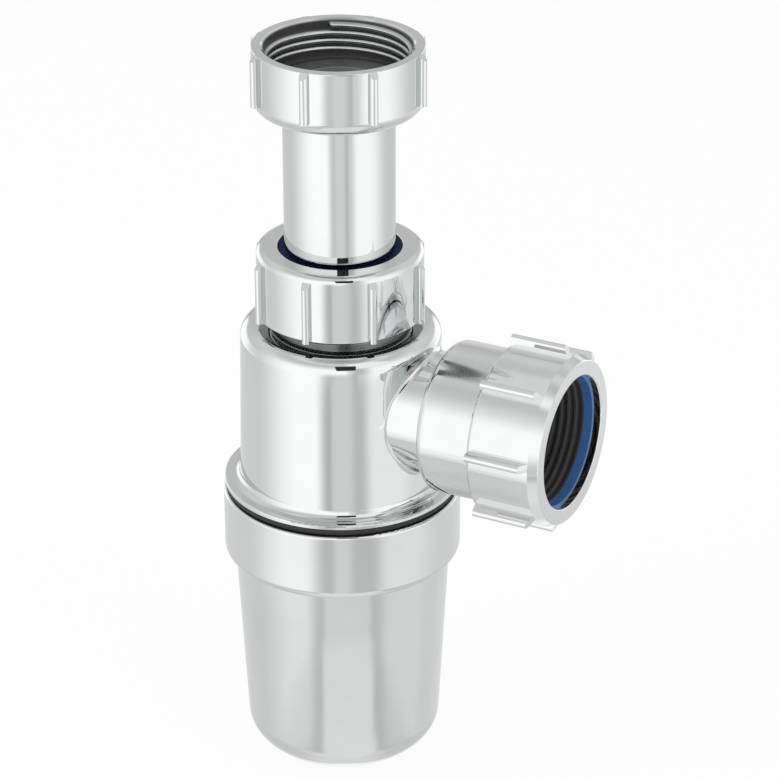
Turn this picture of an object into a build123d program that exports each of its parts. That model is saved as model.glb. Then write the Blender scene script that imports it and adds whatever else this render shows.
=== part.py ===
from build123d import *
import os
from math import atan, cos, degrees, radians, sin, tan

os.makedirs("parts", exist_ok=True)

# Chrome plated telescopic bottle trap for a 32 mm (1 1/4 inch) basin waste.
# Z is the axis of the bottle, with Z = 0 on the flat of the cup's base.
# X runs out along the side outlet. All sizes are in millimetres.

# Clearances between pieces
thread_gap = 0.3  # radial, between a male thread's crest and the plain bore that it turns in
turning_gap = 0.15  # radial, between a nut's floor and the tube that it turns on
sliding_gap = 0.05  # radial, between a rubber seal and what slides through it
seating_gap = 0.1  # radial, between a piece and the pocket that holds it still
edge_break = 0.3  # radius on a moulding's sharp edges
thread_depth = 1.1  # from a male thread's crest down to its root, which is drawn plain

# Bottle cup
cup_height = 88.6
cup_collar_r = 35.0
cup_collar_height = 20.9
cup_collar_corner = 2.6
cup_rim_round = 0.8
cup_step = 3.1
cup_draft = 3.05  # degrees
cup_corner_width = 19.3
cup_corner_height = 12.8
cup_wall = 2.6
cup_thread_wall = 3.2

# Cup seal
cup_seal_thickness = 2.4
cup_seal_inset = 0.9
cup_seal_round = 1.0

# Body shell, from the flange up
flange_inset = 0.4
flange_width = 4.6
flange_edge = 1.3
flange_round = 0.45
flange_foot = 2.4
skirt_length = 17.0
skirt_wall = 2.6
body_height = 50.5
body_draft = 1.0  # degrees
body_shoulder = 4.5
body_wall = 2.5
body_roof = 3.0

# Top spigot, with the conical seat of its seal and the pocket of the dip tube
spigot_length = 15.9
spigot_wall = 1.9
spigot_lead = 0.5
seat_depth = 2.9
seat_flare = 0.3

# Dip tube
dip_tube_length = 126.5
dip_tube_wall = 1.3
dip_flange_width = 0.8
dip_flange_height = 1.5

# Inlet tube
tube_r = 16.0
tube_wall = 1.4
tube_length = 94.0
tube_exposed = 41.8
tube_gap = 0.3  # radial, to the dip tube that it slides in
tube_flange_width = 3.3
tube_flange_height = 2.2
tube_flange_round = 0.6

# Adjuster seal, slip ring and nut
adjuster_seal_height = 2.0
adjuster_ring_height = 2.5
adjuster_lip_height = 3.3
adjuster_lip_opening = 1.9
adjuster_nut_height = 20.35
adjuster_nut_wall = 3.1
adjuster_nut_shoulder = 2.1
adjuster_rib_phase = 5.0  # degrees

# Inlet washer and nut
washer_height = 2.0
washer_r = 19.2
washer_hole_r = 12.5
inlet_thread_r = 20.95
inlet_nut_wall = 3.45
inlet_nut_height = 18.9
inlet_nut_floor = 3.1
inlet_nut_shoulder = 4.0
inlet_mouth_width = 0.8
inlet_mouth_depth = 0.6
inlet_rib_phase = 5.8  # degrees

# Ribs that all three nuts are gripped by
rib_count = 8
rib_width = 2.4
rib_height = 2.0  # on the two upright nuts
rib_root = 1.0  # how far a rib is let into its nut's wall
rib_end_height = 1.6  # length of the slope at a rib's open end

# Side outlet, its heights from the flange and its lengths from the body's axis
outlet_rise = 27.8
neck_r = 17.6
neck_wall = 2.4
neck_blend = 1.4
collar_start = 34.8
collar_r = 22.3
collar_length = 16.8
collar_round = 2.5
socket_start = 39.5
socket_r = 18.3
outlet_spigot_end = 67.0
outlet_spigot_inset = 0.2
outlet_spigot_wall = 1.8
outlet_spigot_lead = 0.8

# Outlet seal, slip ring and nut
outlet_seal_rim = 2.2
outlet_seal_length = 14.5
fin_height = 0.9
fin_pitch = 2.3
fin_gap = 0.1  # radial, between the fins' tips and the largest pipe
outlet_ring_height = 2.6
outlet_ring_r = 18.9
outlet_lip_height = 2.5
outlet_lip_r = 19.5
outlet_nut_length = 21.75
outlet_nut_wall = 2.5
outlet_nut_shoulder_length = 2.8
outlet_nut_shoulder_width = 1.1
outlet_nut_back_round = 1.0
outlet_rib_height = 3.6
outlet_rib_phase = 39.0  # degrees

# Levels that the pieces share
flange_z = cup_height + cup_seal_thickness
body_top_z = flange_z + body_height
spigot_top_z = body_top_z + spigot_length
outlet_z = flange_z + outlet_rise
adjuster_ring_z = spigot_top_z + adjuster_seal_height
adjuster_lip_z = adjuster_ring_z + adjuster_ring_height
adjuster_top_z = adjuster_lip_z + adjuster_lip_height
adjuster_bottom_z = adjuster_top_z - adjuster_nut_height
inlet_bottom_z = adjuster_top_z + tube_exposed
tube_flange_z = inlet_bottom_z + inlet_nut_floor
tube_top_z = tube_flange_z + tube_flange_height
tube_bottom_z = tube_top_z - tube_length
washer_top_z = tube_top_z + washer_height
inlet_top_z = inlet_bottom_z + inlet_nut_height

# Radii that the pieces share
cup_bore_r = cup_collar_r - cup_thread_wall
skirt_r = cup_bore_r - thread_gap - thread_depth
flange_r = cup_collar_r - flange_inset
body_foot_r = flange_r - flange_width
dip_bore_r = tube_r + tube_gap
dip_tube_r = dip_bore_r + dip_tube_wall
dip_flange_r = dip_tube_r + dip_flange_width
dip_pocket_r = dip_flange_r + seating_gap
spigot_bore_r = dip_tube_r + seating_gap
spigot_r = spigot_bore_r + spigot_wall
seat_top_r = dip_pocket_r + seat_flare
adjuster_bore_r = spigot_r + thread_depth + thread_gap
adjuster_nut_r = adjuster_bore_r + adjuster_nut_wall
adjuster_lip_r = tube_r + adjuster_lip_opening
inlet_nut_r = inlet_thread_r + inlet_nut_wall
outlet_spigot_r = collar_r - outlet_spigot_inset
outlet_pocket_r = outlet_spigot_r - outlet_spigot_wall
outlet_bore_r = outlet_spigot_r + thread_gap
outlet_nut_r = outlet_bore_r + outlet_nut_wall

# Sections are drawn with the radius along a sketch's x and the height along its y
outlet_section = Plane(origin=(0, 0, outlet_z), x_dir=(0, 0, 1), z_dir=(0, 1, 0))
outlet_axis = Axis((0, 0, outlet_z), (1, 0, 0))


def corners(outline):
    """The points of an outline whose rows are radius, height and corner radius."""
    return [(radius, height) for radius, height, rounding in outline]


def roundings(outline):
    """The corner radius at each point of such an outline."""
    return [rounding for radius, height, rounding in outline]


# Bottle cup: one moulding, open at the top, with a stepped collar for its thread
cup_cone_slope = tan(radians(cup_draft))
cup_step_z = cup_height - cup_collar_height
cup_cone_top_r = cup_collar_r - cup_step
corner_start = atan(cup_cone_slope * cup_corner_height / cup_corner_width)
corner_start_z = cup_corner_height * (1 - sin(corner_start))
corner_start_r = cup_cone_top_r - cup_cone_slope * (cup_step_z - corner_start_z)
corner_centre_r = corner_start_r - cup_corner_width * cos(corner_start)
corner_inner_width = cup_corner_width - cup_wall
corner_inner_height = cup_corner_height - cup_wall
cup_inner_top_r = corner_centre_r + corner_inner_width + cup_cone_slope * cup_step_z

with BuildPart() as bottle_cup:
    with BuildSketch(Plane.XZ):
        with BuildLine():
            Line((0, 0), (corner_centre_r, 0))
            corner = EllipticalCenterArc(
                (corner_centre_r, cup_corner_height),
                cup_corner_width,
                cup_corner_height,
                start_angle=-90,
                arc_size=90 - degrees(corner_start),
            )
            FilletPolyline(
                corner @ 1,
                (cup_cone_top_r, cup_step_z),
                (cup_collar_r, cup_step_z),
                (cup_collar_r, cup_height),
                (cup_bore_r, cup_height),
                (cup_bore_r, cup_step_z + cup_wall),
                (cup_inner_top_r, cup_step_z + cup_wall),
                (corner_centre_r + corner_inner_width, cup_corner_height),
                radius=[0, cup_collar_corner, cup_rim_round, 0, 0, 0],
            )
            inner_corner = EllipticalCenterArc(
                (corner_centre_r, cup_corner_height),
                corner_inner_width,
                corner_inner_height,
                start_angle=-90,
                arc_size=90,
            )
            Polyline(inner_corner @ 0, (0, cup_wall), (0, 0))
        make_face()
    revolve(axis=Axis.Z)
bottle_cup.part.label = "bottle_cup"
export_step(bottle_cup.part, "parts/bottle_cup.step")


# Cup seal: a flat rubber ring, squeezed between the cup's rim and the flange
cup_seal_r = cup_collar_r - cup_seal_inset
with BuildPart() as cup_seal:
    with BuildSketch(Plane.XZ):
        with BuildLine():
            seal_outline = [
                (skirt_r + seating_gap, cup_height, 0),
                (cup_seal_r, cup_height, cup_seal_round),
                (cup_seal_r, flange_z, cup_seal_round),
                (skirt_r + seating_gap, flange_z, 0),
            ]
            FilletPolyline(*corners(seal_outline), radius=roundings(seal_outline), close=True)
        make_face()
    revolve(axis=Axis.Z)
cup_seal.part.label = "cup_seal"
export_step(cup_seal.part, "parts/cup_seal.step")


# Body: one moulding of skirt, flange, shell, top spigot and side outlet
body_slope = tan(radians(body_draft))
body_shoulder_r = body_foot_r - body_slope * (body_height - flange_edge)
body_inner_foot_r = body_foot_r - body_wall
body_inner_top_r = body_shoulder_r - body_wall
body_roof_z = body_top_z - body_roof
dip_seat_z = spigot_top_z - seat_depth - dip_flange_height
skirt_inner_r = max(skirt_r - skirt_wall, body_inner_foot_r)

body_outline = [
    (0, flange_z - skirt_length, 0),
    (skirt_r, flange_z - skirt_length, 0),
    (skirt_r, flange_z, 0),
    (flange_r, flange_z, 0),
    (flange_r, flange_z + flange_edge, min(flange_round, 0.4 * flange_edge)),
    (body_foot_r, flange_z + flange_edge, min(flange_foot, 0.6 * flange_width)),
    (body_shoulder_r, body_top_z, body_shoulder),
    (spigot_r, body_top_z, 0),
    (spigot_r, spigot_top_z, spigot_lead),
    (0, spigot_top_z, 0),
]
branch_outline = [
    (0, body_inner_top_r / 2, 0),
    (neck_r, body_inner_top_r / 2, 0),
    (neck_r, collar_start, 0),
    (collar_r, collar_start, collar_round),
    (collar_r, collar_start + collar_length, 0),
    (outlet_spigot_r, collar_start + collar_length, 0),
    (outlet_spigot_r, outlet_spigot_end, outlet_spigot_lead),
    (0, outlet_spigot_end, 0),
]
body_cavity = [
    (0, flange_z - skirt_length, 0),
    (skirt_inner_r, flange_z - skirt_length, 0),
    (skirt_inner_r, flange_z, 0),
    (body_inner_foot_r, flange_z + flange_edge, 0),
    (body_inner_top_r, body_roof_z, body_shoulder / 2),
    (spigot_bore_r, body_roof_z, 0),
    (spigot_bore_r, dip_seat_z, 0),
    (dip_pocket_r, dip_seat_z, 0),
    (dip_pocket_r, spigot_top_z - seat_depth, 0),
    (seat_top_r, spigot_top_z, 0),
    (0, spigot_top_z, 0),
]
seal_pocket_start = outlet_spigot_end - outlet_seal_length - seating_gap
outlet_bores = [
    (0, 0, 0),
    (neck_r - neck_wall, 0, 0),
    (neck_r - neck_wall, socket_start, 0),
    (socket_r, socket_start, 0),
    (socket_r, seal_pocket_start, 0),
    (outlet_pocket_r, seal_pocket_start, 0),
    (outlet_pocket_r, outlet_spigot_end, 0),
    (0, outlet_spigot_end, 0),
]

with BuildPart() as trap_body:
    with BuildSketch(Plane.XZ):
        with BuildLine():
            FilletPolyline(*corners(body_outline), radius=roundings(body_outline), close=True)
        make_face()
    revolve(axis=Axis.Z)
    with BuildSketch(outlet_section):
        with BuildLine():
            FilletPolyline(*corners(branch_outline), radius=roundings(branch_outline), close=True)
        make_face()
    revolve(axis=outlet_axis)
    neck_foot = edges(Select.NEW).filter_by(GeomType.BSPLINE)
    fillet(neck_foot, min(neck_blend, (collar_start - body_foot_r) / 2))
    with BuildSketch(Plane.XZ):
        with BuildLine():
            FilletPolyline(*corners(body_cavity), radius=roundings(body_cavity), close=True)
        make_face()
    revolve(axis=Axis.Z, mode=Mode.SUBTRACT)
    with BuildSketch(outlet_section):
        with BuildLine():
            FilletPolyline(*corners(outlet_bores), radius=roundings(outlet_bores), close=True)
        make_face()
    revolve(axis=outlet_axis, mode=Mode.SUBTRACT)
trap_body.part.label = "trap_body"
export_step(trap_body.part, "parts/trap_body.step")


# Dip tube: hangs by its flange in the spigot's pocket and reaches down into the cup
dip_top_z = dip_seat_z + dip_flange_height
with BuildPart() as dip_tube:
    with BuildSketch(Plane.XZ):
        with BuildLine():
            Polyline(
                (dip_bore_r, dip_top_z - dip_tube_length),
                (dip_tube_r, dip_top_z - dip_tube_length),
                (dip_tube_r, dip_seat_z),
                (dip_flange_r, dip_seat_z),
                (dip_flange_r, dip_top_z),
                (dip_bore_r, dip_top_z),
                close=True,
            )
        make_face()
    revolve(axis=Axis.Z)
dip_tube.part.label = "dip_tube"
export_step(dip_tube.part, "parts/dip_tube.step")


# Inlet tube: a plated tube with a turned-out flange that its nut pulls up on
tube_flange_r = tube_r + tube_flange_width
tube_outline = [
    (tube_r - tube_wall, tube_bottom_z, 0),
    (tube_r, tube_bottom_z, tube_wall / 3),
    (tube_r, tube_flange_z, 0),
    (tube_flange_r, tube_flange_z, tube_flange_round),
    (tube_flange_r, tube_top_z, tube_flange_round),
    (tube_r - tube_wall, tube_top_z, 0),
]
with BuildPart() as inlet_tube:
    with BuildSketch(Plane.XZ):
        with BuildLine():
            FilletPolyline(*corners(tube_outline), radius=roundings(tube_outline), close=True)
        make_face()
    revolve(axis=Axis.Z)
inlet_tube.part.label = "inlet_tube"
export_step(inlet_tube.part, "parts/inlet_tube.step")


# Inlet washer: flat black rubber, laid on the tube's flange inside the nut
with BuildPart() as inlet_washer:
    with BuildSketch(Plane.XY.offset(tube_top_z)):
        Circle(washer_r)
        Circle(washer_hole_r, mode=Mode.SUBTRACT)
    extrude(amount=washer_height)
inlet_washer.part.label = "inlet_washer"
export_step(inlet_washer.part, "parts/inlet_washer.step")


# Inlet nut: a deep ribbed ring, threaded inside, that turns freely on the tube's flange
inlet_rib_r = inlet_nut_r + rib_height
inlet_pocket_r = max(tube_flange_r, washer_r) + thread_gap
inlet_rib_start_z = inlet_bottom_z + inlet_nut_shoulder
inlet_nut_outline = [
    (tube_r + turning_gap, inlet_bottom_z, 0),
    (inlet_nut_r, inlet_bottom_z, inlet_nut_shoulder),
    (inlet_nut_r, inlet_top_z, edge_break),
    (inlet_thread_r + inlet_mouth_width, inlet_top_z, 0),
    (inlet_thread_r, inlet_top_z - inlet_mouth_depth, 0),
    (inlet_thread_r, washer_top_z, 0),
    (inlet_pocket_r, washer_top_z, 0),
    (inlet_pocket_r, tube_flange_z, 0),
    (tube_r + turning_gap, tube_flange_z, 0),
]
with BuildPart() as inlet_nut:
    with BuildSketch(Plane.XY.offset(inlet_rib_start_z)):
        with PolarLocations(inlet_nut_r - rib_root, rib_count, start_angle=inlet_rib_phase):
            Rectangle(
                rib_root + rib_height - rib_width / 2,
                rib_width,
                align=(Align.MIN, Align.CENTER),
            )
        with PolarLocations(inlet_rib_r - rib_width / 2, rib_count, start_angle=inlet_rib_phase):
            Circle(rib_width / 2)
    extrude(amount=inlet_top_z - inlet_rib_start_z)
    with BuildSketch(Plane.XZ):
        with BuildLine():
            Polyline(
                (inlet_nut_r, inlet_top_z),
                (inlet_rib_r, inlet_top_z - rib_end_height),
                (inlet_rib_r + rib_height, inlet_top_z),
                close=True,
            )
        make_face()
    revolve(axis=Axis.Z, mode=Mode.SUBTRACT)
    with BuildSketch(Plane.XZ):
        with BuildLine():
            FilletPolyline(
                *corners(inlet_nut_outline), radius=roundings(inlet_nut_outline), close=True
            )
        make_face()
    revolve(axis=Axis.Z)
inlet_nut.part.label = "inlet_nut"
export_step(inlet_nut.part, "parts/inlet_nut.step")


# Adjuster seal: a rubber ring whose cone sits in the spigot's mouth and grips the tube
seal_bore_r = tube_r + sliding_gap
seal_cone_z = spigot_top_z - seat_depth + seating_gap
with BuildPart() as adjuster_seal:
    with BuildSketch(Plane.XZ):
        with BuildLine():
            Polyline(
                (seal_bore_r, seal_cone_z),
                (dip_pocket_r - seating_gap, seal_cone_z),
                (seat_top_r - seating_gap, spigot_top_z),
                (adjuster_bore_r - 2 * thread_gap, spigot_top_z),
                (adjuster_bore_r - 2 * thread_gap, adjuster_ring_z),
                (seal_bore_r, adjuster_ring_z),
                close=True,
            )
        make_face()
    revolve(axis=Axis.Z)
adjuster_seal.part.label = "adjuster_seal"
export_step(adjuster_seal.part, "parts/adjuster_seal.step")


# Adjuster slip ring: hard blue plastic between the seal and the nut's lip
with BuildPart() as adjuster_slip_ring:
    with BuildSketch(Plane.XY.offset(adjuster_ring_z)):
        Circle(adjuster_bore_r - thread_gap)
        Circle(tube_r + turning_gap, mode=Mode.SUBTRACT)
    extrude(amount=adjuster_ring_height)
adjuster_slip_ring.part.label = "adjuster_slip_ring"
export_step(adjuster_slip_ring.part, "parts/adjuster_slip_ring.step")


# Adjuster nut: threaded on the spigot, its lip presses ring and seal round the tube
adjuster_rib_r = adjuster_nut_r + rib_height
adjuster_nut_outline = [
    (adjuster_bore_r, adjuster_bottom_z, 0),
    (adjuster_nut_r, adjuster_bottom_z, edge_break),
    (adjuster_nut_r, adjuster_top_z, adjuster_nut_shoulder),
    (adjuster_lip_r, adjuster_top_z, edge_break),
    (adjuster_lip_r, adjuster_lip_z, 0),
    (adjuster_bore_r, adjuster_lip_z, 0),
]
with BuildPart() as adjuster_nut:
    with BuildSketch(Plane.XY.offset(adjuster_bottom_z)):
        with PolarLocations(adjuster_nut_r - rib_root, rib_count, start_angle=adjuster_rib_phase):
            Rectangle(
                rib_root + rib_height - rib_width / 2,
                rib_width,
                align=(Align.MIN, Align.CENTER),
            )
        with PolarLocations(
            adjuster_rib_r - rib_width / 2, rib_count, start_angle=adjuster_rib_phase
        ):
            Circle(rib_width / 2)
    extrude(amount=adjuster_nut_height - adjuster_nut_shoulder)
    with BuildSketch(Plane.XZ):
        rib_end_z = adjuster_top_z - adjuster_nut_shoulder
        with BuildLine():
            Polyline(
                (adjuster_nut_r, rib_end_z),
                (adjuster_rib_r, rib_end_z - rib_end_height),
                (adjuster_rib_r + rib_height, rib_end_z),
                close=True,
            )
        make_face()
    revolve(axis=Axis.Z, mode=Mode.SUBTRACT)
    with BuildSketch(Plane.XZ):
        with BuildLine():
            FilletPolyline(
                *corners(adjuster_nut_outline), radius=roundings(adjuster_nut_outline), close=True
            )
        make_face()
    revolve(axis=Axis.Z)
adjuster_nut.part.label = "adjuster_nut"
export_step(adjuster_nut.part, "parts/adjuster_nut.step")


# Outlet seal: a black rubber sleeve in the socket's pocket, finned inside
outlet_ring_x = outlet_spigot_end + outlet_seal_rim
seal_sleeve_r = outlet_pocket_r - seating_gap
fin_tip_r = socket_r + fin_gap
fin_root_r = fin_tip_r + fin_height
sleeve_start = outlet_spigot_end - outlet_seal_length
fin_count = int((outlet_seal_length + outlet_seal_rim) / fin_pitch)
fin_points = []
for fin in range(fin_count):
    fin_x = outlet_ring_x - fin * fin_pitch
    fin_points.append((fin_tip_r, fin_x))
    fin_points.append((fin_tip_r, fin_x - fin_pitch / 4))
    fin_points.append((fin_root_r, fin_x - fin_pitch / 2))
    fin_points.append((fin_root_r, fin_x - fin_pitch * 3 / 4))
with BuildPart() as outlet_seal:
    with BuildSketch(outlet_section):
        with BuildLine():
            Polyline(
                *fin_points,
                (fin_root_r, sleeve_start),
                (seal_sleeve_r, sleeve_start),
                (seal_sleeve_r, outlet_spigot_end),
                (outlet_spigot_r - thread_gap, outlet_spigot_end),
                (outlet_spigot_r - thread_gap, outlet_ring_x),
                close=True,
            )
        make_face()
    revolve(axis=outlet_axis)
outlet_seal.part.label = "outlet_seal"
export_step(outlet_seal.part, "parts/outlet_seal.step")


# Outlet slip ring: hard blue plastic between the seal's rim and the nut's lip
outlet_lip_x = outlet_ring_x + outlet_ring_height
with BuildPart() as outlet_slip_ring:
    with BuildSketch(Plane.YZ.offset(outlet_ring_x)):
        with Locations((0, outlet_z)):
            Circle(outlet_bore_r - thread_gap)
            Circle(outlet_ring_r, mode=Mode.SUBTRACT)
    extrude(amount=outlet_ring_height)
outlet_slip_ring.part.label = "outlet_slip_ring"
export_step(outlet_slip_ring.part, "parts/outlet_slip_ring.step")


# Outlet nut: threaded on the socket, its lip presses ring and seal round the pipe
outlet_face_x = outlet_lip_x + outlet_lip_height
outlet_back_x = outlet_face_x - outlet_nut_length
outlet_shoulder_x = outlet_face_x - outlet_nut_shoulder_length
outlet_face_r = outlet_nut_r - outlet_nut_shoulder_width
outlet_rib_r = outlet_nut_r + outlet_rib_height
outlet_rib_start = outlet_back_x + outlet_nut_back_round
outlet_nut_outline = [
    (outlet_bore_r, outlet_back_x, 0),
    (outlet_nut_r, outlet_back_x, outlet_nut_back_round),
    (outlet_nut_r, outlet_shoulder_x, 0),
    (outlet_face_r, outlet_face_x, edge_break),
    (outlet_lip_r, outlet_face_x, edge_break),
    (outlet_lip_r, outlet_lip_x, 0),
    (outlet_bore_r, outlet_lip_x, 0),
]
with BuildPart() as outlet_nut:
    with BuildSketch(Plane.YZ.offset(outlet_rib_start)):
        with Locations((0, outlet_z)):
            with PolarLocations(outlet_nut_r - rib_root, rib_count, start_angle=outlet_rib_phase):
                Rectangle(
                    rib_root + outlet_rib_height - rib_width / 2,
                    rib_width,
                    align=(Align.MIN, Align.CENTER),
                )
            with PolarLocations(
                outlet_rib_r - rib_width / 2, rib_count, start_angle=outlet_rib_phase
            ):
                Circle(rib_width / 2)
    extrude(amount=outlet_shoulder_x - outlet_rib_start)
    with BuildSketch(outlet_section):
        with BuildLine():
            Polyline(
                (outlet_nut_r, outlet_shoulder_x),
                (outlet_rib_r, outlet_shoulder_x - rib_end_height),
                (outlet_rib_r + outlet_rib_height, outlet_shoulder_x),
                close=True,
            )
            Polyline(
                (outlet_nut_r, outlet_rib_start),
                (outlet_rib_r, outlet_rib_start + rib_end_height),
                (outlet_rib_r + outlet_rib_height, outlet_rib_start),
                close=True,
            )
        make_face()
    revolve(axis=outlet_axis, mode=Mode.SUBTRACT)
    with BuildSketch(outlet_section):
        with BuildLine():
            FilletPolyline(
                *corners(outlet_nut_outline), radius=roundings(outlet_nut_outline), close=True
            )
        make_face()
    revolve(axis=outlet_axis)
outlet_nut.part.label = "outlet_nut"
export_step(outlet_nut.part, "parts/outlet_nut.step")
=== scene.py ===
import math

import bmesh
import bpy
from mathutils import Matrix


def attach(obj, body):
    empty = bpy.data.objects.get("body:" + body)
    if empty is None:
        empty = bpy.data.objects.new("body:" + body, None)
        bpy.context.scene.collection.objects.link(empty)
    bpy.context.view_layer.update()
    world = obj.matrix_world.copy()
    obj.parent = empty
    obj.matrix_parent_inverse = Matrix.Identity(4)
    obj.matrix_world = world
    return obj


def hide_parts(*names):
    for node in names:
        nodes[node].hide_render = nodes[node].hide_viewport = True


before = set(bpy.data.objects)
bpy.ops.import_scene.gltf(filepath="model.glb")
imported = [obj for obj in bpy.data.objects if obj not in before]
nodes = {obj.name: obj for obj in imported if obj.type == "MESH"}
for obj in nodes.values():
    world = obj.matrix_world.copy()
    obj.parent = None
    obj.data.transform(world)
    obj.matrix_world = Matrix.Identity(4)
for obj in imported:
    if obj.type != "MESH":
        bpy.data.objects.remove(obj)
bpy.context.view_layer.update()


# Trap body: one hollow moulding of skirt, flange, shell, top spigot and side branch.
# It is polished, copper flashed and chrome plated, so its skin keeps the faint ripple
# of the mould. The two spigots and the skirt carry the threads of the three screwed parts.


def effect_group(name, numbers, outputs):
    """A shader node group with number inputs and the named outputs, and its two end nodes."""
    group = bpy.data.node_groups.new(name, "ShaderNodeTree")
    for label, start in numbers:
        socket = group.interface.new_socket(label, in_out="INPUT", socket_type="NodeSocketFloat")
        socket.default_value = start
    for label, kind in outputs:
        group.interface.new_socket(label, in_out="OUTPUT", socket_type=kind)
    entry = group.nodes.new("NodeGroupInput")
    leave = group.nodes.new("NodeGroupOutput")
    return group, entry, leave


def add_noise(tree, coordinate, scale, detail, roughness=0.5):
    """A noise texture on the given coordinate."""
    noise = tree.nodes.new("ShaderNodeTexNoise")
    noise.inputs["Scale"].default_value = scale
    noise.inputs["Detail"].default_value = detail
    noise.inputs["Roughness"].default_value = roughness
    tree.links.new(coordinate, noise.inputs["Vector"])
    return noise


def add_range(tree, value, low, high, to_low=0.0, to_high=1.0, smooth=False):
    """A Map Range node: low..high of value becomes to_low..to_high."""
    node = tree.nodes.new("ShaderNodeMapRange")
    if smooth:
        node.interpolation_type = "SMOOTHSTEP"
    node.inputs["From Min"].default_value = low
    node.inputs["From Max"].default_value = high
    node.inputs["To Min"].default_value = to_low
    node.inputs["To Max"].default_value = to_high
    tree.links.new(value, node.inputs["Value"])
    return node.outputs["Result"]


def add_mix(tree, mask, first, second, kind="RGBA"):
    """The first where the mask is 0 and the second where it is 1. Each of them is a socket,
    a colour or a number."""
    mix = tree.nodes.new("ShaderNodeMix")
    mix.data_type = kind
    for label, value in (("Factor", mask), ("A", first), ("B", second)):
        if isinstance(value, (tuple, float)):
            mix.inputs[label].default_value = value
        else:
            tree.links.new(value, mix.inputs[label])
    return mix.outputs["Result"]


def add_math(tree, operation, first, second=None):
    """A Math node on sockets or plain numbers."""
    node = tree.nodes.new("ShaderNodeMath")
    node.operation = operation
    for socket, value in zip(node.inputs, (first, second)):
        if value is None:
            continue
        if isinstance(value, (int, float)):
            socket.default_value = value
        else:
            tree.links.new(value, socket)
    return node.outputs[0]


plating, plating_in, plating_out = effect_group(
    "plating_skin",
    [("Ripple Scale", 60.0), ("Haze Low", 0.03), ("Haze High", 0.06)],
    [("Ripple", "NodeSocketFloat"), ("Roughness", "NodeSocketFloat"), ("Film", "NodeSocketFloat")],
)
place = plating.nodes.new("ShaderNodeTexCoord").outputs["Object"]
ripple = add_noise(plating, place, 60.0, 1.5)
plating.links.new(plating_in.outputs["Ripple Scale"], ripple.inputs["Scale"])
plating.links.new(ripple.outputs["Fac"], plating_out.inputs["Ripple"])
film = add_noise(plating, place, 38.0, 4.0, 0.6)
film_mask = add_range(plating, film.outputs["Fac"], 0.38, 0.7, smooth=True)
haze = plating.nodes.new("ShaderNodeMapRange")
plating.links.new(film_mask, haze.inputs["Value"])
plating.links.new(plating_in.outputs["Haze Low"], haze.inputs["To Min"])
plating.links.new(plating_in.outputs["Haze High"], haze.inputs["To Max"])
plating.links.new(haze.outputs["Result"], plating_out.inputs["Roughness"])
plating.links.new(film_mask, plating_out.inputs["Film"])


def chrome_finish(
        name, ripple_scale=50.0, ripple_depth=0.00003, haze_low=0.03, haze_high=0.055):
    """Bright chrome plate: a mirror with a faint ripple, and a thin film that hazes it."""
    material = bpy.data.materials.new(name)
    material.use_nodes = True
    tree = material.node_tree
    shader = tree.nodes["Principled BSDF"]
    shader.inputs["Metallic"].default_value = 1.0
    shader.inputs["IOR"].default_value = 1.5
    skin = tree.nodes.new("ShaderNodeGroup")
    skin.node_tree = plating
    skin.inputs["Ripple Scale"].default_value = ripple_scale
    skin.inputs["Haze Low"].default_value = haze_low
    skin.inputs["Haze High"].default_value = haze_high
    tint = add_mix(
        tree, skin.outputs["Film"], (0.735, 0.754, 0.751, 1.0), (0.708, 0.730, 0.728, 1.0))
    tree.links.new(tint, shader.inputs["Base Color"])
    tree.links.new(skin.outputs["Roughness"], shader.inputs["Roughness"])
    bump = tree.nodes.new("ShaderNodeBump")
    bump.inputs["Strength"].default_value = 1.0
    bump.inputs["Distance"].default_value = ripple_depth
    tree.links.new(skin.outputs["Ripple"], bump.inputs["Height"])
    tree.links.new(bump.outputs["Normal"], shader.inputs["Normal"])
    return material


def dress(node, material):
    """Puts a finish on a carried-over CAD node, in place of its plain one."""
    nodes[node].data.materials.clear()
    nodes[node].data.materials.append(material)


def place_on_part(tree):
    """A point's distance from the upright axis, its distance out along the outlet, and its
    height, in Object coordinates."""
    split = tree.nodes.new("ShaderNodeSeparateXYZ")
    tree.links.new(tree.nodes.new("ShaderNodeTexCoord").outputs["Object"], split.inputs[0])
    across = add_math(tree, "MULTIPLY", split.outputs["X"], split.outputs["X"])
    along = add_math(tree, "MULTIPLY", split.outputs["Y"], split.outputs["Y"])
    radius = add_math(tree, "SQRT", add_math(tree, "ADD", across, along))
    return radius, split.outputs["X"], split.outputs["Z"]


def paint_shade_where(material, mask, tone, roughness):
    """Painted shade: a darker, rougher grey in place of the polished chrome where the mask is
    1, as in a bore, a corner or under a rim, where shade falls."""
    tree = material.node_tree
    shader = tree.nodes["Principled BSDF"]
    for label, shaded in (
        ("Base Color", (tone, tone * 1.01, tone * 1.015, 1.0)),
        ("Roughness", roughness),
    ):
        polished = shader.inputs[label].links[0].from_socket
        kind = "RGBA" if isinstance(shaded, tuple) else "FLOAT"
        tree.links.new(add_mix(tree, mask, polished, shaded, kind), shader.inputs[label])


body_chrome = chrome_finish("body_chrome", ripple_scale=45.0, ripple_depth=0.00004)
body_tree = body_chrome.node_tree
from_body_axis, out_along, body_height = place_on_part(body_tree)
# Painted shade: the top spigot and its thread, in the shade under the adjuster nut, are a darker,
# rougher grey.
on_spigot = add_math(
    body_tree, "MULTIPLY", add_range(body_tree, from_body_axis, 0.0209, 0.0213, 1, 0),
    add_range(body_tree, body_height, 0.14148, 0.14152))
paint_shade_where(body_chrome, on_spigot, tone=0.30, roughness=0.24)
# Painted shade: the crown of the outlet collar is a little darker and rougher, which dims a bright
# reflected spot there.
collar_crown = add_math(
    body_tree, "MULTIPLY", add_range(body_tree, out_along, 0.0375, 0.0405, smooth=True),
    add_range(body_tree, body_height, 0.1340, 0.1368, smooth=True))
paint_shade_where(body_chrome, collar_crown, tone=0.69, roughness=0.15)
dress("trap_body", body_chrome)

pipe_pitch = 0.002309
cup_pitch = 0.004
outlet_height = 0.1188


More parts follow.
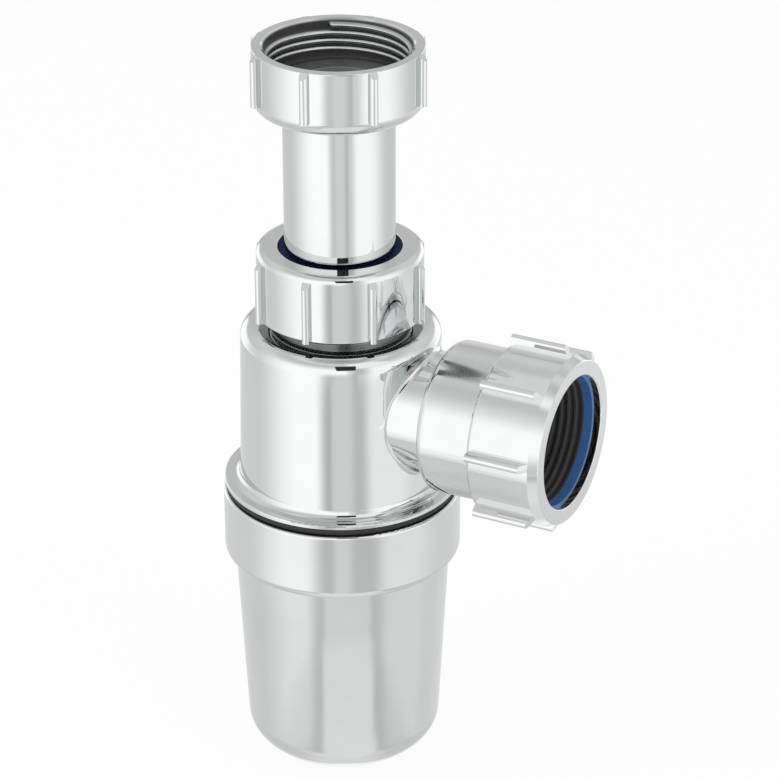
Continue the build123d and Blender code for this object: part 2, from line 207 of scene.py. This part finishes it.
def draw_section(mesh, section, angle=0.0):
    """Draws a closed section of (radius, height) points at an angle round the upright axis,
    and gives back its points and edges, ready to be spun."""
    points = [
        mesh.verts.new((radius * math.cos(angle), radius * math.sin(angle), height))
        for radius, height in section
    ]
    return points + [mesh.edges.new(pair) for pair in zip(points, points[1:] + points[:1])]


def make_object(name, mesh, material, smooth=True):
    """Turns a finished bmesh into an object of the scene, in one material."""
    data = bpy.data.meshes.new(name)
    mesh.to_mesh(data)
    mesh.free()
    for face in data.polygons:
        face.use_smooth = smooth
    data.materials.append(material)
    made = bpy.data.objects.new(name, data)
    bpy.context.scene.collection.objects.link(made)
    return made


def cut_thread(name, profile, body, material, start, turns, run_out, pitch=pipe_pitch):
    """A helical ridge on a wall: its section, a ring of (radius, height) points of which the
    first and last lie inside the wall, is spun down a right-hand thread from the start angle,
    in radians. Both ends run out into the wall over a few degrees. A helix can come out of
    the recalculation inside out, and then has a negative volume, so it is turned."""
    steps = 144
    total = int(turns * steps)
    mesh = bmesh.new()
    bmesh.ops.spin(
        mesh,
        geom=draw_section(mesh, profile, start),
        axis=(0, 0, 1),
        cent=(0, 0, 0),
        dvec=(0, 0, -pitch / steps),
        angle=-2 * math.pi * total / steps,
        steps=total,
        use_duplicate=False,
    )
    mesh.verts.ensure_lookup_table()
    wall = profile[0][0]
    for index, vert in enumerate(mesh.verts):
        step = index // len(profile)
        risen = min(1, min(step, total - step) * 360 / steps / run_out)
        radius = math.hypot(vert.co.x, vert.co.y)
        share = (wall + (radius - wall) * risen) / radius
        vert.co.x *= share
        vert.co.y *= share
    bmesh.ops.holes_fill(mesh, edges=[edge for edge in mesh.edges if edge.is_boundary])
    bmesh.ops.recalc_face_normals(mesh, faces=mesh.faces)
    if mesh.calc_volume(signed=True) < 0:
        bmesh.ops.reverse_faces(mesh, faces=mesh.faces)
    thread = make_object(name, mesh, material)
    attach(thread, body)
    return thread


def vee(wall, crest, top, width):
    """The section of a thread's ridge: a V with a small round on its crest."""
    sunk = wall - math.copysign(0.0001, crest - wall)
    eased = crest - 0.07 * (crest - wall)
    middle = top - width / 2
    return [
        (sunk, top),
        (eased, middle + 0.06 * width),
        (crest, middle),
        (eased, middle - 0.06 * width),
        (sunk, top - width),
    ]


cut_thread(
    "spigot_thread", vee(wall=0.0196, crest=0.02068, top=0.1564, width=0.00175),
    "trap_body", body_chrome, start=0.6, turns=5.65, run_out=40)
skirt_ridge = [
    (0.0303, 0.0879), (0.03135, 0.08725), (0.0315, 0.0870), (0.0315, 0.0866),
    (0.03135, 0.08635), (0.0303, 0.0857),
]
cut_thread(
    "skirt_thread", skirt_ridge, "trap_body", body_chrome,
    start=2.1, turns=2.5, run_out=30, pitch=cup_pitch)
outlet_thread = cut_thread(
    "outlet_thread", vee(wall=0.0221, crest=0.02228, top=0.0660, width=0.0010),
    "trap_body", body_chrome, start=1.0, turns=5.5, run_out=30)
onto_outlet = Matrix.Rotation(math.radians(90), 4, "Y")
outlet_thread.data.transform(Matrix.Translation((0, 0, outlet_height)) @ onto_outlet)


# Dip tube: a white plastic tube that hangs from the top spigot down into the cup.
# It makes the water seal, and only its upper rim can be looked down on.
def moulded_finish(name, colour, shade, roughness, grain_scale, grain_depth, sheen_spread):
    """Moulded plastic or rubber: a body colour with faint flow marks and a fine skin."""
    material = bpy.data.materials.new(name)
    material.use_nodes = True
    tree = material.node_tree
    shader = tree.nodes["Principled BSDF"]
    place = tree.nodes.new("ShaderNodeTexCoord").outputs["Object"]
    flow = add_noise(tree, place, 55.0, 5.0, 0.6)
    flow_mask = add_range(tree, flow.outputs["Fac"], 0.35, 0.68, smooth=True)
    tint = add_mix(tree, flow_mask, (*colour, 1.0), (*shade, 1.0))
    tree.links.new(tint, shader.inputs["Base Color"])
    rough = add_range(tree, flow_mask, 0.0, 1.0, roughness, roughness + sheen_spread)
    tree.links.new(rough, shader.inputs["Roughness"])
    grain = add_noise(tree, place, grain_scale, 3.0)
    bump = tree.nodes.new("ShaderNodeBump")
    bump.inputs["Strength"].default_value = 1.0
    bump.inputs["Distance"].default_value = grain_depth
    tree.links.new(grain.outputs["Fac"], bump.inputs["Height"])
    tree.links.new(bump.outputs["Normal"], shader.inputs["Normal"])
    return material


dress("dip_tube", moulded_finish(
    "white_polypropylene", (0.80, 0.80, 0.77), (0.74, 0.74, 0.71), roughness=0.38,
    grain_scale=900.0, grain_depth=0.00001, sheen_spread=0.1))

# Rubber seals: black nitrile rings for the cup, the sliding tube and the outlet pipe.
# They are pressed in a mould and laid in loose; the nuts and the cup squeeze them tight.
black_rubber = moulded_finish(
    "black_rubber", (0.012, 0.012, 0.013), (0.020, 0.020, 0.021), roughness=0.45,
    grain_scale=1400.0, grain_depth=0.00002, sheen_spread=0.12)
dress("adjuster_seal", black_rubber)

seal_outer = 0.0341
seal_middle = 0.0898
seal_half_height = 0.0012
seal_section = [
    (0.0316, 0.0886), (0.0341, 0.0886), (0.0341, 0.08968), (0.03417, 0.0898),
    (0.0341, 0.08992), (0.0341, 0.0910), (0.0316, 0.0910),
]
seal_mesh = bmesh.new()
bmesh.ops.spin(
    seal_mesh,
    geom=draw_section(seal_mesh, seal_section),
    axis=(0, 0, 1),
    cent=(0, 0, 0),
    angle=2 * math.pi,
    steps=180,
    use_merge=True,
    use_duplicate=False,
)
bmesh.ops.remove_doubles(seal_mesh, verts=seal_mesh.verts, dist=0.000001)
outer_corners = [
    edge for edge in seal_mesh.edges
    if all(
        abs(math.hypot(vert.co.x, vert.co.y) - seal_outer) < 0.00001
        and abs(abs(vert.co.z - seal_middle) - seal_half_height) < 0.00001
        for vert in edge.verts
    )
]
bmesh.ops.bevel(
    seal_mesh, geom=outer_corners, offset=0.001, offset_type="OFFSET", affect="EDGES",
    segments=6, profile=0.5, material=-1)
bmesh.ops.recalc_face_normals(seal_mesh, faces=seal_mesh.faces)
cup_seal_ring = make_object("cup_seal_ring", seal_mesh, black_rubber)
cup_seal_ring.data.set_sharp_from_angle(angle=math.radians(50))
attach(cup_seal_ring, "cup_seal")
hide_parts("cup_seal")

dress("outlet_seal", moulded_finish(
    "finned_rubber", (0.060, 0.060, 0.063), (0.075, 0.075, 0.078), roughness=0.32,
    grain_scale=1400.0, grain_depth=0.00001, sheen_spread=0.10))

# Bottle cup: the chrome plated cup that screws over the body's skirt, and comes off
# for cleaning. It is moulded in one piece, with a stepped collar round its thread.
dress("bottle_cup", chrome_finish("cup_chrome", ripple_scale=40.0))

# Inlet tube: drawn brass tube, polished and chrome plated, that slides in the body.
dress("inlet_tube", chrome_finish(
    "tube_chrome", ripple_scale=55.0, ripple_depth=0.00002, haze_low=0.025, haze_high=0.05))

# Adjuster slip ring and nut: the plated nut presses a dark blue plastic ring on the seal,
# and so grips the tube at the height that the basin needs.
navy_nylon = moulded_finish(
    "navy_nylon", (0.024, 0.044, 0.20), (0.021, 0.038, 0.175), roughness=0.55,
    grain_scale=300.0, grain_depth=0.000002, sheen_spread=0.08)
navy_nylon.node_tree.nodes["Principled BSDF"].inputs["Specular IOR Level"].default_value = 0.3
dress("adjuster_slip_ring", navy_nylon)
adjuster_chrome = chrome_finish("adjuster_chrome")
adjuster_tree = adjuster_chrome.node_tree
from_tube_axis, _, adjuster_height = place_on_part(adjuster_tree)
# Painted shade: the nut's underside, inside its lower rim, is a darker, rougher grey.
under_rim = add_math(
    adjuster_tree, "MULTIPLY", add_range(adjuster_tree, from_tube_axis, 0.0240, 0.0243, 1, 0),
    add_range(adjuster_tree, adjuster_height, 0.14488, 0.14494, 1, 0))
paint_shade_where(adjuster_chrome, under_rim, tone=0.46, roughness=0.16)
dress("adjuster_nut", adjuster_chrome)

# Inlet washer: flat dark grey rubber on the tube's flange, on which the basin waste's tail
# is screwed down. A paler grey ring round its hole is a painted highlight.
grey_rubber = moulded_finish(
    "grey_rubber", (0.085, 0.087, 0.090), (0.120, 0.122, 0.125), roughness=0.55,
    grain_scale=1200.0, grain_depth=0.00002, sheen_spread=0.12)
washer_tree = grey_rubber.node_tree
washer_colour = washer_tree.nodes["Principled BSDF"].inputs["Base Color"]
# Painted highlight: a paler grey ring round the washer's hole.
painted_rim_highlight = add_range(washer_tree, place_on_part(washer_tree)[0], 0.01285, 0.0130, 1, 0)
rim_highlighted = add_mix(
    washer_tree, painted_rim_highlight, washer_colour.links[0].from_socket, (0.30, 0.31, 0.31, 1.0))
washer_tree.links.new(rim_highlighted, washer_colour)
dress("inlet_washer", grey_rubber)

# Inlet nut: a deep ribbed ring, chrome plated inside and out, with a right-hand thread
# cut in its bore for the basin waste's tail.
nut_chrome = chrome_finish("nut_chrome")
from_nut_axis = place_on_part(nut_chrome.node_tree)[0]
# Painted shade: the nut's bore is a dark, rough grey.
in_the_bore = add_range(nut_chrome.node_tree, from_nut_axis, 0.0211, 0.0214, 1, 0)
paint_shade_where(nut_chrome, in_the_bore, tone=0.23, roughness=0.40)
dress("inlet_nut", nut_chrome)
thread_chrome = chrome_finish(
    "thread_chrome", ripple_scale=90.0, ripple_depth=0.00004, haze_low=0.16, haze_high=0.24)
from_thread_axis = place_on_part(thread_chrome.node_tree)[0]
# Painted shade: the thread in the bore is a rough grey that darkens from its crest to its root at
# the wall.
ridge_flank = add_range(thread_chrome.node_tree, from_thread_axis, 0.01955, 0.0206, 0.25, 1)
paint_shade_where(thread_chrome, ridge_flank, tone=0.36, roughness=0.30)
nut_ridge = [
    (0.02105, 0.22525), (0.02015, 0.22490), (0.01970, 0.22450), (0.01960, 0.22425),
    (0.01960, 0.22400), (0.01975, 0.22375), (0.02105, 0.22335),
]
cut_thread(
    "inlet_nut_thread", nut_ridge, "inlet_nut", thread_chrome,
    start=math.radians(126.1), turns=3.5, run_out=3)

# Outlet slip ring and nut: the plated nut presses a blue plastic ring on the finned seal,
# which closes on the waste pipe that is pushed in.
dress("outlet_slip_ring", moulded_finish(
    "blue_nylon", (0.058, 0.185, 0.46), (0.051, 0.165, 0.42), roughness=0.34,
    grain_scale=300.0, grain_depth=0.000004, sheen_spread=0.08))
dress("outlet_nut", chrome_finish("outlet_chrome"))


# Studio: a pale room of soft boxes that the chrome mirrors, a plain white floor that keeps
# the trap's shadow, two soft lamps, and the camera at the photograph's angle.
camera_place = (0.407976, -0.758741, 0.543022)
view_azimuth = math.atan2(camera_place[1], camera_place[0])
world = bpy.data.worlds.new("studio")
bpy.context.scene.world = world
world.use_nodes = True
studio = world.node_tree
studio.nodes.clear()
look = studio.nodes.new("ShaderNodeTexCoord").outputs["Generated"]
split = studio.nodes.new("ShaderNodeSeparateXYZ")
studio.links.new(look, split.inputs[0])
turn = add_math(studio, "ARCTAN2", split.outputs["Y"], split.outputs["X"])
turn = add_math(studio, "SUBTRACT", turn, view_azimuth)
wrap = studio.nodes.new("ShaderNodeMath")
wrap.operation = "WRAP"
studio.links.new(turn, wrap.inputs[0])
wrap.inputs[1].default_value = math.pi
wrap.inputs[2].default_value = -math.pi
around = wrap.outputs[0]
around_share = add_range(studio, around, -math.pi, math.pi)
height = split.outputs["Z"]


def light_of(tone):
    """A grey light that shows as a screen tone from 0 to 255."""
    tone = tone / 255
    light = tone / 12.92 if tone <= 0.04045 else ((tone + 0.055) / 1.055) ** 2.4
    return light, light, light, 1.0


def ramp_of_light(along, panels, share_of):
    """Light that changes along a value from 0 to 1, from soft boxes and the darker gaps
    between them. Each is (from, to, screen tone) in degrees, and blends softly into the
    next. The last input turns degrees into a share of the value."""
    ramp = studio.nodes.new("ShaderNodeValToRGB")
    band = ramp.color_ramp
    band.interpolation = "EASE"
    band.elements.remove(band.elements[1])
    edges = [(edge, tone) for start, end, tone in panels for edge in (start, end)]
    for number, (degrees, tone) in enumerate(edges):
        share = share_of(degrees)
        stop = band.elements[0] if number == 0 else band.elements.new(share)
        stop.position = share
        stop.color = light_of(tone)
    studio.links.new(along, ramp.inputs["Fac"])
    return ramp.outputs["Color"]


def wall_of_light(*panels):
    """The light round the room at one height, from panels in degrees from the camera."""
    return ramp_of_light(around_share, panels, lambda degrees: (degrees + 180) / 360)


def sine(degrees):
    return math.sin(math.radians(degrees))


def above(start, full):
    """A mask that goes from 0 to 1 between two heights in the room, in degrees."""
    return add_range(studio, height, sine(start), sine(full), smooth=True)


# A large soft box stands left of the camera and a smaller one right of it, with a pale
# panel in front and two narrow dark gaps beside that. An upright surface seen from above
# mirrors them about 24 degrees below the horizon, the tapered cup at 36 to 38, and there
# the gaps stand wider apart.
by_the_tube = wall_of_light(
    (-180, -120, 195), (-50, -28, 252), (-12, -10, 196), (-5, 6, 205), (16, 17, 183),
    (20, 21, 203), (39, 60, 247), (118, 180, 195))
by_the_body = wall_of_light(
    (-180, -178, 214), (-160, -112, 200), (-48, -31, 251), (-15, -14, 178), (-9, 7, 203),
    (18, 20, 184), (38, 65, 228), (95, 180, 214))
by_the_collar = wall_of_light(
    (-180, -108, 200), (-52, -38, 241), (-15, -12, 185), (-4, 2, 206), (15, 27, 184),
    (48, 70, 220), (112, 150, 203), (178, 180, 200))
by_the_cone = wall_of_light(
    (-180, -178, 214), (-150, -112, 197), (-58, -45, 223), (-26, -24, 188), (-18, 27, 204),
    (34, 35, 185), (56, 90, 208), (112, 150, 200), (178, 180, 214))
low_down = wall_of_light(
    (-180, -178, 213), (-150, -109, 196), (-66, -46, 210), (-29, -28, 185), (-21, 31, 213),
    (40, 41, 181), (60, 150, 198), (178, 180, 213))
lowest = wall_of_light(
    (-180, -178, 213), (-150, -110, 193), (-75, -57, 201), (-38, -32, 187), (-21, 37, 217),
    (48, 50, 185), (80, 150, 195), (178, 180, 213))
open_side = wall_of_light(
    (-180, -178, 180), (-135, -122, 195), (-50, 5, 251), (9, 10, 214), (17, 21, 187),
    (39, 60, 247), (118, 135, 198), (178, 180, 180))
behind = wall_of_light(
    (-180, -175, 203), (-165, -164, 168), (-157, -140, 250), (-108, 108, 211),
    (140, 157, 250), (164, 165, 168), (175, 180, 203))
underside = wall_of_light(
    (-180, -178, 242), (-150, -90, 193), (-22, 22, 219), (90, 150, 193), (178, 180, 242))
ceiling = ramp_of_light(
    height, ((20, 40, 204), (56, 58, 190), (66, 68, 206), (88, 90, 160)), sine)

# Going down and then up from the tube's band, each light gives way to the next between
# two heights in degrees.
room = by_the_tube
for light, start, full in (
    (by_the_body, -23.9, -24.4),
    (by_the_collar, -26.4, -28.2),
    (by_the_cone, -31, -35),
    (low_down, -36.1, -37.2),
    (lowest, -37.5, -38.3),
    (underside, -42, -58),
    (light_of(212), -62, -85),
    (open_side, -21, 6),
    (ceiling, 20, 50),
):
    room = add_mix(studio, above(start, full), room, light)

# Upright surfaces that face away from the camera mirror a pair of boxes of their own.
off_centre = add_math(studio, "ABSOLUTE", around)
rear = add_range(studio, off_centre, math.radians(95), math.radians(108))
rear = add_math(studio, "MULTIPLY", rear, above(-20.3, -19.3))
rear = add_math(studio, "MULTIPLY", rear, add_range(studio, height, sine(8), sine(16), 1, 0))
room = add_mix(studio, rear, room, behind)

# One more soft box hangs high on the right.
box_offset = add_math(studio, "ABSOLUTE", add_math(studio, "SUBTRACT", around, math.radians(38)))
box_wide = add_range(studio, box_offset, math.radians(22), math.radians(32), 1, 0, smooth=True)
box_high = add_math(studio, "MULTIPLY", above(30, 38), add_range(
    studio, height, sine(66), sine(76), 1, 0, smooth=True))
top_box = add_math(studio, "MULTIPLY", box_wide, box_high)
room = add_mix(studio, top_box, room, light_of(236))


def mix_shaders(tree, share, first, second):
    """One shader where the share is 0, the other where it is 1."""
    mix = tree.nodes.new("ShaderNodeMixShader")
    for socket, value in zip(mix.inputs, (share, first, second)):
        tree.links.new(value, socket)
    return mix.outputs[0]


mirrored = studio.nodes.new("ShaderNodeBackground")
mirrored.inputs["Strength"].default_value = 1.34
studio.links.new(room, mirrored.inputs["Color"])
backdrop = studio.nodes.new("ShaderNodeBackground")
backdrop.inputs["Color"].default_value = (1, 1, 1, 1)
fill = studio.nodes.new("ShaderNodeBackground")
fill.inputs["Color"].default_value = (1, 1, 1, 1)
fill.inputs["Strength"].default_value = 0.72
ray = studio.nodes.new("ShaderNodeLightPath")
mirror_ray = add_math(
    studio, "MAXIMUM", ray.outputs["Is Glossy Ray"], ray.outputs["Is Transmission Ray"])
lit = mix_shaders(studio, mirror_ray, fill.outputs[0], mirrored.outputs[0])
seen = mix_shaders(studio, ray.outputs["Is Camera Ray"], lit, backdrop.outputs[0])
studio_out = studio.nodes.new("ShaderNodeOutputWorld")
studio.links.new(seen, studio_out.inputs["Surface"])

floor_finish = bpy.data.materials.new("white_floor")
floor_finish.use_nodes = True
floor_tree = floor_finish.node_tree
floor_tree.nodes.clear()
matt = floor_tree.nodes.new("ShaderNodeBsdfDiffuse")
matt.inputs["Color"].default_value = (0.97, 0.97, 0.97, 1)
white = floor_tree.nodes.new("ShaderNodeEmission")
white.inputs["Color"].default_value = (1, 1, 1, 1)
floor_ray = floor_tree.nodes.new("ShaderNodeLightPath")
share = add_math(floor_tree, "MULTIPLY", floor_ray.outputs["Is Camera Ray"], 0.92)
shown = mix_shaders(floor_tree, share, matt.outputs[0], white.outputs[0])
floor_out = floor_tree.nodes.new("ShaderNodeOutputMaterial")
floor_tree.links.new(shown, floor_out.inputs["Surface"])
floor_mesh = bmesh.new()
bmesh.ops.create_grid(floor_mesh, x_segments=1, y_segments=1, size=2.0)
floor = make_object("floor", floor_mesh, floor_finish, smooth=False)
floor.visible_glossy = False

# A small black card close to the trap makes the dark dash that the tube, the nuts and the
# body mirror one above another. It faces the foot of the top spigot.
card_finish = bpy.data.materials.new("black_card")
card_finish.use_nodes = True
card_shader = card_finish.node_tree.nodes["Principled BSDF"]
card_shader.inputs["Base Color"].default_value = (0.03, 0.03, 0.032, 1)
card_shader.inputs["Roughness"].default_value = 0.9
card_size = (0.074, 0.050)
card_distance = 0.15
card_turn = view_azimuth + math.radians(5)
card_rise = math.radians(32)
card_place = (
    Matrix.Translation((0, 0, 0.141))
    @ Matrix.Rotation(card_turn, 4, "Z")
    @ Matrix.Rotation(math.pi / 2 - card_rise, 4, "Y")
    @ Matrix.Translation((0, 0, card_distance))
    @ Matrix.Diagonal((*card_size, 1, 1))
)
card_mesh = bmesh.new()
bmesh.ops.create_grid(card_mesh, x_segments=1, y_segments=1, size=0.5)
bmesh.ops.transform(card_mesh, verts=card_mesh.verts, matrix=card_place)
dark_card = make_object("dark_card", card_mesh, card_finish, smooth=False)
dark_card.visible_camera = False
dark_card.visible_diffuse = False
dark_card.visible_shadow = False

lamp_aim_height = 0.11
for name, place_at, size, power in (
    ("key_lamp", (-0.75, -0.85, 1.05), 0.9, 5.5),
    ("fill_lamp", (1.15, -0.45, 0.55), 0.8, 3.0),
):
    lamp_data = bpy.data.lights.new(name, "AREA")
    lamp_data.shape = "SQUARE"
    lamp_data.size = size
    lamp_data.energy = power
    lamp = bpy.data.objects.new(name, lamp_data)
    bpy.context.scene.collection.objects.link(lamp)
    lamp.location = place_at
    aim = lamp.location.copy()
    aim.z -= lamp_aim_height
    lamp.rotation_euler = aim.to_track_quat("Z", "Y").to_euler()
    lamp.visible_glossy = False

picture_width = 779
picture_middle = picture_width / 2
focal_length_px = 3285.85
optical_centre_px = (401.865, 394.242)
camera_data = bpy.data.cameras.new("camera")
camera_data.sensor_width = 36.0
camera_data.lens = focal_length_px / picture_width * camera_data.sensor_width
camera_data.shift_x = -(optical_centre_px[0] - picture_middle) / picture_width
camera_data.shift_y = (optical_centre_px[1] - picture_middle) / picture_width
camera_data.clip_start = 0.01
camera = bpy.data.objects.new("camera", camera_data)
bpy.context.scene.collection.objects.link(camera)
camera.location = camera_place
camera.rotation_euler = (math.radians(90 - 26.30), 0, math.radians(27.09))
bpy.context.scene.camera = camera
bpy.context.scene.view_settings.view_transform = "Standard"
